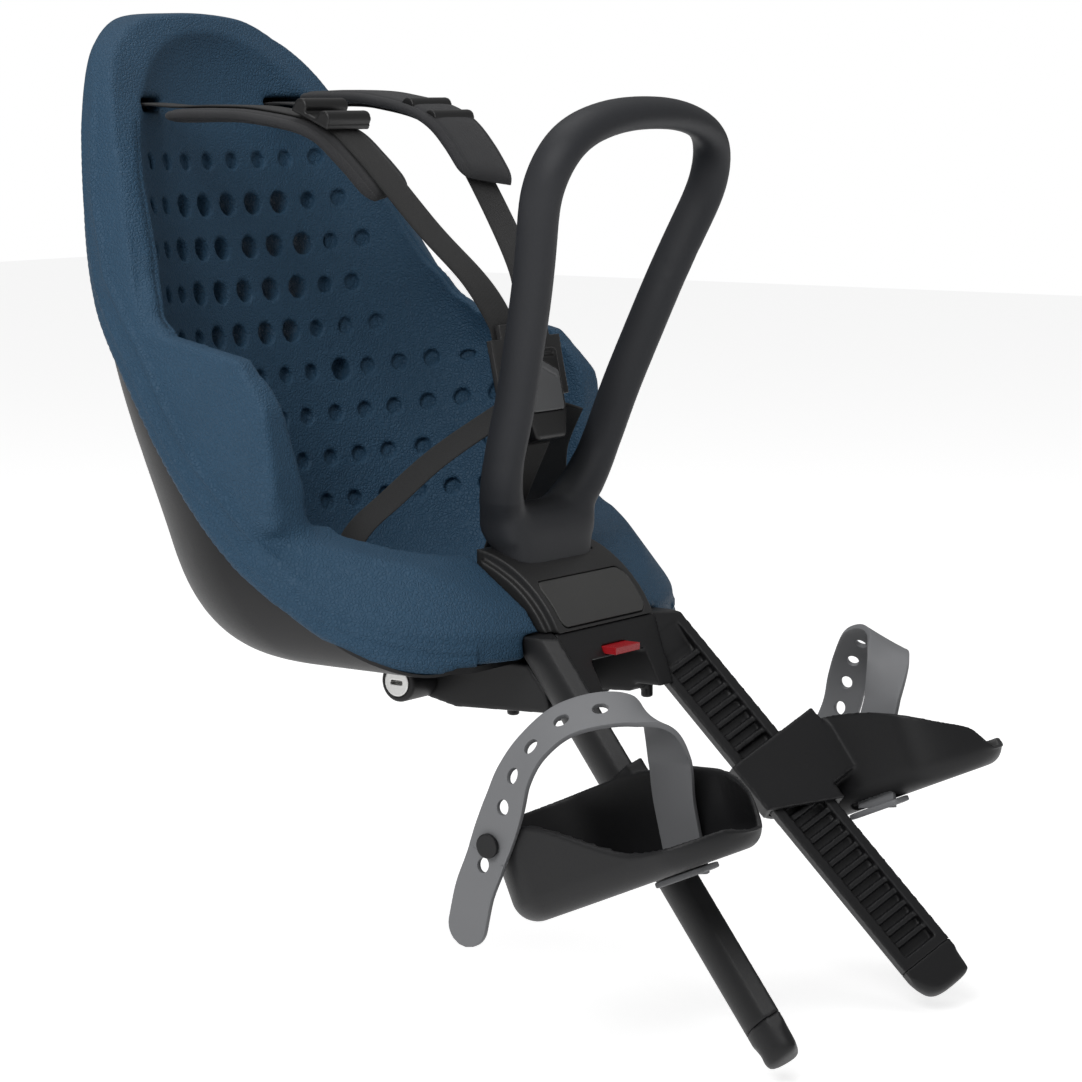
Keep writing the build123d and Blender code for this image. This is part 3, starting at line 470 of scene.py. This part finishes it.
# Foot straps: grey moulded rubber with a row of oval holes, hooked under the floor by a flat tee and buttoned
# on the stud at the outside. A route has the places of the strap's middle and its width's direction there.
RUBBER_GREY = (0.185, 0.188, 0.196)
STRAP_HALF = 0.012
STRAP_THICK = 0.0030
STRAP_EDGE = 0.0006
HOLE_HALF = (0.0043, 0.0036)  # along and across the strap
HOLE_REACH = 0.0068  # half the length of strap that is meshed round a hole
STRIP_STEP = 0.0018
STRAP_STEPS = 50  # from one point of a route to the next
TEE_MIDDLE = (0.029, -0.014, -0.0092)
TEE_HALF = (0.009, 0.017, 0.0018)
ALONG = tuple(FOOT_AXES[1])
ROUND = (0.25, 0.87, 0.1)
OVER = (0.4, 0.77, 0.5)
STRAP_X = -0.170


def foot_point(x, y, z):
    """World place of a point given in the dish's own tilted frame, in metres."""
    return tuple(FOOT_MIDDLE + np.array((x, y, z)) @ FOOT_AXES)


STUD = foot_point(-0.038, 0.048, 0.039)
FOOT_ROUTE = [((-0.1713, -0.0314, -0.1197), ALONG), ((-0.171, -0.034, -0.108), ALONG),
              ((-0.1705, -0.038, -0.090), ALONG), ((STRAP_X, -0.044, -0.075), ALONG),
              ((STRAP_X, STUD[1], STUD[2]), ALONG), ((-0.1712, -0.0575, -0.0426), ALONG),
              ((-0.1695, -0.0626, -0.026), (0.1, 0.9, -0.2)), ((-0.164, -0.070, -0.011), ROUND),
              ((-0.1535, -0.0815, 0.002), (0.35, 0.8, 0.35)), ((-0.142, -0.0975, 0.008), OVER),
              ((-0.1305, -0.111, 0.0072), OVER), ((-0.1195, -0.1185, -0.002), ROUND),
              ((-0.111, -0.120, -0.021), ALONG), ((-0.1044, -0.119, -0.045), ALONG),
              (foot_point(0.031, -0.014, -0.009), ALONG)]
HOLED = np.arange(3, 10)  # route points that carry a hole


def on_side(route, sign):
    """A route as it is for the right side, or its mirror image for the left."""
    return [((sign * p[0], *p[1:]), (sign * a[0], *a[1:])) for p, a in route]


def strap_frame(route, count):
    """Centre line, width direction, face normal and run length of a strap: a Catmull-Rom curve through the
    route's points, its width turned square to the run, at evenly spaced parameters."""
    p = np.array([place for place, _ in route], float)
    s = np.array([across for _, across in route], float)
    t = np.linspace(0, len(p) - 1, count)
    i = np.clip(t.astype(int), 0, len(p) - 2)
    f = (t - i)[:, None]
    a, b, c, d = p[np.maximum(i - 1, 0)], p[i], p[i + 1], p[np.minimum(i + 2, len(p) - 1)]
    square, cube = 2 * a - 5 * b + 4 * c - d, 3 * b - a - 3 * c + d
    line = 0.5 * (2 * b + (c - a) * f + square * f ** 2 + cube * f ** 3)
    side = s[i] * (1 - f) + s[i + 1] * f
    run = np.gradient(line, axis=0)
    run /= np.linalg.norm(run, axis=1)[:, None]
    side -= run * (side * run).sum(1)[:, None]
    side /= np.linalg.norm(side, axis=1)[:, None]
    length = np.concatenate([[0], np.cumsum(np.linalg.norm(np.diff(line, axis=0), axis=1))])
    return line, side, np.cross(run, side), length


def looked_up(at, places, table):
    """Rows of a table at new places, by straight lines between its own."""
    return np.stack([np.interp(at, places, column) for column in table.T], 1)


def holed_pattern(length, places, half, cells=10, rings=5, crowding=1.3, tip=0.0002):
    """Flat pattern of a holed strap in (run, across): round each hole rings grow from its oval edge to a
    rectangle as wide as the strap, and plain strips fill what lies between the rectangles."""
    one = np.arange(cells) / cells * 2 - 1
    full = np.ones(cells)
    square = [np.stack(side, 1) for side in ((full, one), (-one, full), (-full, -one), (one, -full))]
    border = np.concatenate(square) * (HOLE_REACH, half)
    angle = np.arctan2(border[:, 1] / half, border[:, 0] / HOLE_REACH)
    inner = np.stack([np.cos(angle), np.sin(angle)], 1) * HOLE_HALF
    mix = (np.arange(rings + 1) / rings)[:, None, None] ** crowding
    tile = (inner[None] * (1 - mix) + border[None] * mix).reshape(-1, 2)
    n = len(border)
    r, q = np.divmod(np.arange(rings * n), n)
    after = (q + 1) % n
    ring_faces = np.stack([r * n + q, (r + 1) * n + q, (r + 1) * n + after, r * n + after], 1)
    points, faces, start = [], [], 0
    for place in places:
        points.append(tile + (place, 0))
        faces.append(ring_faces + start)
        start += len(tile)
    ends = np.concatenate([[tip], np.stack([places - HOLE_REACH, places + HOLE_REACH], 1).ravel(), [length]])
    for a, b in ends.reshape(-1, 2):
        steps = max(int(round((b - a) / STRIP_STEP)), 1)
        run, across = np.meshgrid(np.linspace(a, b, steps + 1), np.linspace(-half, half, cells + 1),
                                  indexing="ij")
        points.append(np.stack([run.ravel(), across.ravel()], 1))
        r, q = np.divmod(np.arange(steps * cells), cells)
        w = cells + 1
        faces.append(np.stack([r * w + q, (r + 1) * w + q, (r + 1) * w + q + 1, r * w + q + 1], 1) + start)
        start += len(points[-1])
    return merged(np.concatenate(points), np.concatenate(faces))


def squared(value, power):
    """Power of a sine or cosine that keeps its sign; below one it squares a round section off."""
    return np.sign(value) * np.abs(value) ** power


def rounded_plate(name, middle, axes, size, corner, count=48):
    """Closed pillow: a superellipsoid with the half sizes given along its own axes, squared by the corner
    power."""
    rows = count // 2
    u, v = np.meshgrid(np.linspace(0, 2 * math.pi, count, endpoint=False),
                       np.linspace(-math.pi / 2, math.pi / 2, rows), indexing="ij")
    cos_u, sin_u, cos_v, sin_v = (squared(w, 2 / corner) for w in (np.cos(u), np.sin(u), np.cos(v), np.sin(v)))
    shape = np.stack([cos_v * cos_u, cos_v * sin_u, sin_v], 2) * size
    r, q = np.divmod(np.arange(count * (rows - 1)), rows - 1)
    after = (r + 1) % count
    faces = np.stack([r * rows + q, after * rows + q, after * rows + q + 1, r * rows + q + 1], 1)
    plate = new_piece(name, middle + shape.reshape(-1, 3) @ axes, faces)
    weld = plate.modifiers.new("close the poles", "WELD")
    weld.merge_threshold = 0.00002
    return plate


rubber = finish("strap_rubber", RUBBER_GREY, roughness=0.58, grain=1900.0, mottle=0.06)
for tag, sign in SIDES:
    line, side, _, length = strap_frame(on_side(FOOT_ROUTE, sign), (len(FOOT_ROUTE) - 1) * STRAP_STEPS + 1)
    pattern, faces = holed_pattern(length[-1], length[HOLED * STRAP_STEPS], STRAP_HALF)
    run, across = pattern.T
    tip_round = np.sqrt(np.clip(1 - np.clip(1 - run / STRAP_HALF, 0, 1) ** 2, 0.0025, 1))
    spread = looked_up(run, length, side) * (across * tip_round)[:, None]
    strap = new_piece("foot_strap_grey_" + tag, looked_up(run, length, line) + spread, faces)
    wall = strap.modifiers.new("thickness", "SOLIDIFY")
    wall.thickness = STRAP_THICK
    wall.offset = 0.0
    soft_edge = strap.modifiers.new("soft edge", "BEVEL")
    soft_edge.width = STRAP_EDGE
    soft_edge.segments = 2
    soft_edge.limit_method = "ANGLE"
    soft_edge.angle_limit = math.radians(50)
    dress(strap, rubber, "footrest_" + tag, "strap_rubber", "foot_strap_" + tag)
    tee = rounded_plate("strap_tee_" + tag, np.array(foot_point(*TEE_MIDDLE)) * (sign, 1, 1), FOOT_AXES,
                        TEE_HALF, corner=7.0)
    dress(tee, rubber, "footrest_" + tag, "strap_rubber")


# Harness webbing: black woven polypropylene tape 25 mm wide. The shoulder straps come through the back at the
# anchors and end in the buckle's tongues; lap straps go down beside the lip, the crotch strap through it.
WEB_BLACK = (0.0185, 0.0185, 0.0188)
WEB_WIDE = 0.025
WEB_THICK = 0.0016
BUCKLE_MIDDLE = np.array((0, 0.046, 0.150))
LEAN = math.radians(12)
BUCKLE_AXES = np.array([(1, 0, 0), (0, math.sin(LEAN), math.cos(LEAN)), (0, -math.cos(LEAN), math.sin(LEAN))])
LEVEL = (1, 0, 0)
LAP_WIDTH = (0.35, 0.9, 0.1)


def buckle_point(x, y, z):
    """World place of a point given in the buckle's own frame, in metres."""
    return tuple(BUCKLE_MIDDLE + np.array((x, y, z)) @ BUCKLE_AXES)


SHOULDER_ROUTE = [(p, LEVEL) for p in (
    (-0.062, 0.3067, 0.314), (-0.062, 0.293, 0.3145), (-0.062, 0.276, 0.3155), (-0.062, 0.248, 0.314),
    (-0.060, 0.220, 0.3145), (-0.054, 0.190, 0.313), (-0.049, 0.152, 0.305), (-0.046, 0.128, 0.287),
    (-0.036, 0.094, 0.247), (-0.024, 0.070, 0.218), buckle_point(-0.014, 0.046, -0.0036),
    buckle_point(-0.013, 0.031, -0.0032))]
LAP_ROUTE = [(p, LAP_WIDTH) for p in (
    (-0.098, 0.1105, 0.025), (-0.0985, 0.110, 0.050), (-0.092, 0.1025, 0.078), (-0.074, 0.090, 0.098),
    (-0.052, 0.073, 0.121), buckle_point(-0.027, -0.004, 0))]
CROTCH_ROUTE = [(p, LEVEL) for p in (
    buckle_point(0, -0.0248, -0.003), (0, 0.056, 0.100), (0, 0.067, 0.076), (0, 0.076, 0.052),
    (0, 0.078, 0.034), (0, 0.078, 0.0134))]


def section_turns(ring):
    """Angles round a section, none of them on its axes."""
    return np.linspace(0, 2 * math.pi, ring, endpoint=False) + math.pi / ring


def carried(name, grid, along, across):
    """Closed piece from a section carried along a path: the grid's rows run along the path and its columns
    round the section, one face closes each end, and the UV map holds metres along and across."""
    rows, ring = grid.shape[:2]
    r, q = np.divmod(np.arange((rows - 1) * ring), ring)
    after = (q + 1) % ring
    faces = np.stack([r * ring + q, r * ring + after, (r + 1) * ring + after, (r + 1) * ring + q], 1).tolist()
    faces += [list(range(ring))[::-1], list(range((rows - 1) * ring, rows * ring))]
    piece = new_piece(name, grid.reshape(-1, 3), faces)
    corners = np.empty(len(piece.data.loops), np.int64)
    piece.data.loops.foreach_get("vertex_index", corners)
    row, column = np.divmod(corners, ring)
    uv = np.stack([along[row], across[column]], 1)
    piece.data.uv_layers.new(name="cloth").data.foreach_set("uv", uv.ravel())
    return piece


def tape(name, route, count=180, ring=24):
    """Webbing and its length: a flat section with rounded edges, which is a superellipse, carried along its
    route."""
    line, side, up, length = strap_frame(route, count)
    turn = section_turns(ring)
    x = squared(np.cos(turn), 0.3) * WEB_WIDE / 2
    y = squared(np.sin(turn), 0.6) * WEB_THICK / 2
    grid = line[:, None] + side[:, None] * x[None, :, None] + up[:, None] * y[None, :, None]
    return carried(name, grid, length, x), round(float(length[-1]), 4)


def woven(name, colour, pitch):
    """Woven cloth: the product of two sine waves along and across the UV lengths, in the relief."""
    m = finish(name, colour, roughness=0.78, grain=2600.0, relief=0.2, mottle=0.15, sheen=0.08, gloss=0.3)
    nodes, links = m.node_tree.nodes, m.node_tree.links
    uv = nodes.new("ShaderNodeUVMap")
    split = nodes.new("ShaderNodeSeparateXYZ")
    links.new(uv.outputs["UV"], split.inputs[0])
    weave = nodes.new("ShaderNodeMath")
    weave.operation = "MULTIPLY"
    for axis, wave_long, factor in (("X", pitch, weave.inputs[0]), ("Y", pitch * 1.4, weave.inputs[1])):
        phase = nodes.new("ShaderNodeMath")
        phase.operation = "MULTIPLY"
        phase.inputs[1].default_value = 2 * math.pi / wave_long
        wave = nodes.new("ShaderNodeMath")
        wave.operation = "SINE"
        links.new(split.outputs[axis], phase.inputs[0])
        links.new(phase.outputs[0], wave.inputs[0])
        links.new(wave.outputs[0], factor)
    emboss(m, weave.outputs[0], strength=0.35, deep=0.0004)
    return m


web = woven("webbing_black", WEB_BLACK, pitch=0.0010)
for tag, sign in SIDES:
    for kind, route, rests in (("shoulder", SHOULDER_ROUTE, ["strap_anchor_" + tag, "buckle_tongue_" + tag]),
                               ("lap", LAP_ROUTE, ["buckle_tongue_" + tag, "pad_base"])):
        strap, long = tape(kind + "_web_" + tag, on_side(route, sign))
        dress(strap, web, "seat", "webbing", kind + "_strap_" + tag)
        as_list(rests)
crotch, long = tape("crotch_web", CROTCH_ROUTE)
dress(crotch, web, "seat", "webbing", "crotch_strap")


# Shoulder pads: soft sleeves of black woven cloth over a thin foam, folded round the shoulder straps, with a
# stitched seam inside each bound edge.
CLOTH_BLACK = (0.028, 0.0285, 0.031)
SLEEVE_HALF = 0.025
SLEEVE_THICK = 0.0072
SLEEVE_OFFSET = 0.0050  # from the strap's middle to the sleeve's, along the strap's face normal
SLEEVE_FIRST, SLEEVE_LAST = 3, 7.5  # route points between which the sleeve lies
SLEEVE_STEPS = 60  # from one point of the route to the next
END_ROUND = 0.007
END_NARROWED = 0.18
LOW_END_NARROWED = 0.10
SEAM = (0.80, 0.30, 0.035)  # share of the half width, depth as a share of the thickness, spread
CROWNED = 0.16


def sleeve(name, route, count=130, ring=72):
    """Padded sleeve: a crowned section carried along part of a route. The section is a superellipse whose
    faces dip at the two seams; the width and the thickness round off at both ends."""
    line, side, up, length = strap_frame(route, (len(route) - 1) * SLEEVE_STEPS + 1)
    first, last = int(SLEEVE_FIRST * SLEEVE_STEPS), int(SLEEVE_LAST * SLEEVE_STEPS)
    at = np.linspace(first, last, count)
    line, side, up = (looked_up(at, np.arange(len(length)), table) for table in (line, side, up))
    run = np.linspace(0, length[last] - length[first], count)
    from_end = np.minimum(run, run[-1] - run)
    grow = np.clip(1 - np.clip(1 - from_end / END_ROUND, 0, 1) ** 2.2, 0.01, 1)
    width = SLEEVE_HALF * (1 - END_NARROWED * (1 - grow)) * (1 - LOW_END_NARROWED * (run / run[-1]) ** 2)
    turn = section_turns(ring)
    x = squared(np.cos(turn), 0.42)
    y = squared(np.sin(turn), 0.75) * (1 - bead(np.abs(x), *SEAM)) * (1 + CROWNED * np.cos(x * math.pi / 2))
    rise = grow[:, None] ** 0.5 * y * SLEEVE_THICK / 2 - SLEEVE_OFFSET
    grid = line[:, None] + side[:, None] * (width[:, None] * x)[:, :, None] + up[:, None] * rise[:, :, None]
    return carried(name, grid, run, x * SLEEVE_HALF)


cloth = woven("sleeve_cloth", CLOTH_BLACK, pitch=0.0009)
for tag, sign in SIDES:
    shoulder_pad = sleeve("shoulder_sleeve_" + tag, on_side(SHOULDER_ROUTE, sign))
    dress(shoulder_pad, cloth, "seat", "pad_fabric", "shoulder_pad_" + tag)


# Harness hardware: black acetal adjusters with two rolled bars, flat anchor bars behind the shell, and the
# buckle's two tongues.
ACETAL_BLACK = (0.0085, 0.0085, 0.009)
TONGUE_BLACK = (0.015, 0.015, 0.0155)
hard_black = finish("acetal_black", ACETAL_BLACK, roughness=0.40, grain=2000.0, relief=0.07, gloss=0.4)
tongue_skin = finish("tongue_plastic", TONGUE_BLACK, roughness=0.42, grain=2000.0, relief=0.07)
for tag, _ in SIDES:
    adjuster = moulding("adjuster_bars_" + tag, ["strap_adjuster_" + tag], voxel=0.0007, rounds=14)
    dress(adjuster, hard_black, "seat", "black_plastic", "strap_adjuster_" + tag)
    anchor = moulding("anchor_bar_" + tag, ["strap_anchor_" + tag], voxel=0.0007, rounds=4)
    dress(anchor, hard_black, "seat", "black_plastic", "strap_anchor_" + tag)
    tongue = moulding("tongue_bar_" + tag, ["buckle_tongue_" + tag], voxel=0.0006, rounds=4)
    dress(tongue, tongue_skin, "seat", "black_plastic", "buckle_tongue_" + tag)


# Buckle: a black acetal body with two grooves above and a sunk grey press button in its face, which carries a
# chevron. Grooves have their place, their depth and their spread.
BUTTON_GREY = (0.105, 0.108, 0.112)
LADDER_GROOVES = ((0.0262, 0.0012, 0.0009), (0.0236, 0.0012, 0.0009))
LADDER_HALF = 0.0145
CHEVRON_GROOVE = (0.0165, 0.0007, 0.0008)
CHEVRON_SLOPE = 0.46
CHEVRON_HALF = 0.012


def carve(piece, depth_of):
    """Press a pattern into the front of a buckle piece: depth_of gives the depth at local x and y."""
    points, _ = mesh_arrays(piece.data)
    x, y, front = ((points - BUCKLE_MIDDLE) @ BUCKLE_AXES.T).T
    facing = np.clip(vertex_normals(piece.data) @ BUCKLE_AXES[2], 0, 1) ** 2 * (front > 0)
    reshape(piece.data, points - (facing * depth_of(x, y))[:, None] * BUCKLE_AXES[2])


def ladder(x, y):
    """Two grooves across the top of the buckle's face."""
    return sum(bead(y, *groove) for groove in LADDER_GROOVES) * (np.abs(x) < LADDER_HALF)


def chevron(x, y):
    """Groove along a blunt arrow that follows the button's pointed end."""
    return bead(y + CHEVRON_SLOPE * np.abs(x), *CHEVRON_GROOVE) * (np.abs(x) < CHEVRON_HALF)


buckle = moulding("buckle_case", ["buckle_body"], voxel=0.0006, rounds=5)
carve(buckle, ladder)
dress(buckle, hard_black, "seat", "black_plastic", "buckle_body")
button_skin = finish("button_grey", BUTTON_GREY, roughness=0.44, grain=2000.0, relief=0.06)
button = moulding("buckle_press", ["buckle_button"], voxel=0.0005, rounds=4)
carve(button, chevron)
dress(button, button_skin, "button", "grey_plastic", "buckle_button")


# Key lock: a turned zinc barrel in a round black boss on the right side of the base.
# The barrel turns in the boss a quarter of the way round.
BARREL_ZINC = (0.55, 0.55, 0.54)
boss = moulding("lock_boss", ["lock_housing"], voxel=0.0006, rounds=3)
dress(boss, black, "seat", "black_plastic", "lock_housing")
lock_zinc = finish("lock_zinc", BARREL_ZINC, roughness=0.34, grain=700.0, relief=0.05, metal=1.0)
barrel = moulding("lock_core", ["lock_barrel"], voxel=0.0004, rounds=2)
dress(barrel, lock_zinc, "lock", "lock_metal", "lock_barrel")


# Camera at the photograph's view: in front of the seat on its right, a little above it, with a long lens.
# The turn is counted from straight ahead of the seat.
CAMERA_PLACE = (-1.53795, -1.05205, 0.32599)
CAMERA_TURN = math.radians(-54.6)
CAMERA_RISE = math.radians(7.75)
camera_data = bpy.data.cameras.new("camera")
camera_data.sensor_width = 36
camera_data.lens = 111.26
camera = bpy.data.objects.new("camera", camera_data)
scene.collection.objects.link(camera)
right = (math.cos(CAMERA_TURN), math.sin(CAMERA_TURN), 0)
back = (math.sin(CAMERA_TURN) * math.cos(CAMERA_RISE), -math.cos(CAMERA_TURN) * math.cos(CAMERA_RISE),
        math.sin(CAMERA_RISE))
upward = np.cross(back, right)
camera.matrix_world = Matrix([*zip(right, upward, back, CAMERA_PLACE), (0, 0, 0, 1)])
scene.camera = camera


# Studio: a white floor that still takes the seat's shadow, a white world and three large soft lamps.
# The floor glows a little, and the world is full white, only where they are looked at.
FLOOR_Z = -0.19
FLOOR_HALF = 6.0
FLOOR_WHITE = (0.8, 0.8, 0.8, 1)
FLOOR_GLOW = 0.68
WHITE = (1, 1, 1, 1)
WORLD_LIGHT = 0.29
LAMPS = (("key", (-1.9, -0.25, 1.5), 1.3, 30), ("fill", (0.9, -1.9, 1.0), 1.6, 3),
         ("top", (0.1, 0.4, 2.1), 1.5, 14))  # name, place, size in metres, watts
LIT_POINT = Vector((0, 0.1, 0.1))


def shown_to(tree, rays, plain, shown, surface):
    """Join two shaders into a surface: the rays named meet the shown one, and all other rays the plain one."""
    path = tree.nodes.new("ShaderNodeLightPath")
    either = tree.nodes.new("ShaderNodeMath")
    either.operation = "MAXIMUM"
    for ray, socket in zip(rays, either.inputs):
        tree.links.new(path.outputs[ray], socket)
    pick = tree.nodes.new("ShaderNodeMixShader")
    for source, socket in zip((either, plain, shown), pick.inputs):
        tree.links.new(source.outputs[0], socket)
    tree.links.new(pick.outputs[0], surface)


corners = [(a * FLOOR_HALF, b * FLOOR_HALF, FLOOR_Z) for a, b in ((-1, -1), (1, -1), (1, 1), (-1, 1))]
floor = new_piece("floor", corners, [(0, 1, 2, 3)])
floor_white = bpy.data.materials.new("floor_white")
floor_white.use_nodes = True
tree = floor_white.node_tree
matte = tree.nodes["Principled BSDF"]
matte.inputs["Base Color"].default_value = FLOOR_WHITE
matte.inputs["Roughness"].default_value = 0.9
glow = tree.nodes.new("ShaderNodeEmission")
glow.inputs["Strength"].default_value = FLOOR_GLOW
lit = tree.nodes.new("ShaderNodeAddShader")
tree.links.new(matte.outputs[0], lit.inputs[0])
tree.links.new(glow.outputs[0], lit.inputs[1])
surface = tree.nodes["Material Output"].inputs["Surface"]
shown_to(tree, ("Is Camera Ray", "Is Glossy Ray"), matte, lit, surface)
floor.data.materials.append(floor_white)

world = bpy.data.worlds.new("studio")
world.use_nodes = True
tree = world.node_tree
dim = tree.nodes["Background"]
dim.inputs["Color"].default_value = WHITE
dim.inputs["Strength"].default_value = WORLD_LIGHT
white = tree.nodes.new("ShaderNodeBackground")
white.inputs["Color"].default_value = WHITE
surface = tree.nodes["World Output"].inputs["Surface"]
shown_to(tree, ("Is Camera Ray", "Is Transmission Ray"), dim, white, surface)
scene.world = world
scene.view_settings.view_transform = "Standard"

for name, spot, size, watts in LAMPS:
    lamp = bpy.data.lights.new(name, "AREA")
    lamp.size = size
    lamp.energy = watts
    light = bpy.data.objects.new(name, lamp)
    scene.collection.objects.link(light)
    light.location = spot
    light.rotation_euler = (LIT_POINT - Vector(spot)).to_track_quat("-Z", "Y").to_euler()
